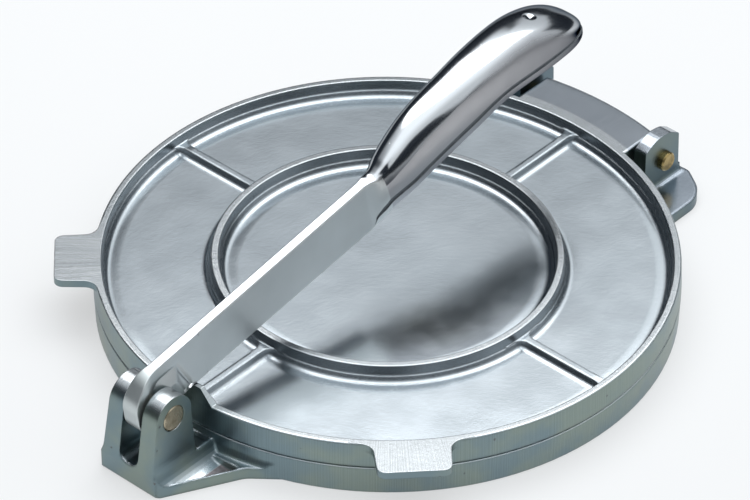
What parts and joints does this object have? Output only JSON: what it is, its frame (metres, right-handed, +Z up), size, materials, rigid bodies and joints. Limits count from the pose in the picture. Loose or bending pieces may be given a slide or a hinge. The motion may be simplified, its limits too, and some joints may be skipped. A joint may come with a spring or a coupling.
{
  "type": "tortilla press",
  "caption": "Cast tortilla press: ribbed round upper plate hinged on a matching base, closed by a cam lever with a rounded hollow grip.",
  "frame": {"origin": "centre of the round plates, on the table", "axes": "+Z up, +Y towards the hinge, -Y towards the lever's clevis, +X across"},
  "size_m": [0.203, 0.2514, 0.0843],
  "materials": {
    "cast": "satin",
    "polished": "polished",
    "pin": "satin"
  },
  "bodies": {
    "base": {"base_plate": "cast", "lever_pin": "pin", "hinge_pin_left": "pin", "hinge_pin_right": "pin"},
    "plate": {"top_plate": "cast"},
    "lever": {"lever": "polished"}
  },
  "joints": [
    {"name": "lever_pivot", "type": "hinge", "parent": "base", "child": "lever", "pos_m": [0, -0.1177, 0.0271], "axis": [1, 0, 0], "range_deg": [0, 165]},
    {"name": "plate_hinge", "type": "hinge", "parent": "base", "child": "plate", "pos_m": [0, 0.1114, 0.0139], "axis": [-1, 0, 0], "range_deg": [0, 12.5]}
  ],
  "couplings": [
    {"joint": "plate_hinge", "follows": "lever_pivot", "ratio": 0.075}
  ]
}
